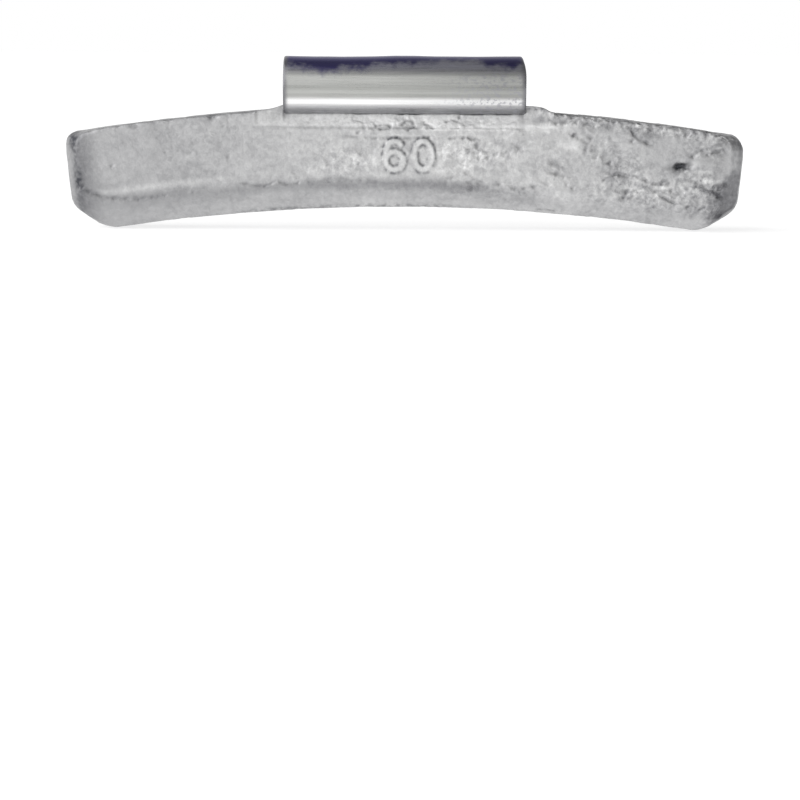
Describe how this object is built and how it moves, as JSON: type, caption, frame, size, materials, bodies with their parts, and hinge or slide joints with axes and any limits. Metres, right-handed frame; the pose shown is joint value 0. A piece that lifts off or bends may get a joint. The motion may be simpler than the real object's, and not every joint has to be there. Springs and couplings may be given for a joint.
{
  "type": "wheel balance weight",
  "caption": "Curved cast weight with a bent spring-steel clip on its crown, which hooks over the lip of a wheel rim to balance the wheel.",
  "frame": {"origin": "axis of the clip's hook, half way along the clip's width", "axes": "+X along the rim, +Y inboard to the rim's wall, +Z away from the axle"},
  "size_m": [0.0688, 0.0088, 0.0174],
  "materials": {
    "cast_lead": "as-cast antimonial lead, mottled and slightly pitted",
    "spring_steel": "cold-rolled spring steel with a blue temper tint along the bend"
  },
  "bodies": {
    "root": {"cast_weight": "cast_lead", "spring_clip": "spring_steel"}
  },
  "joints": []
}
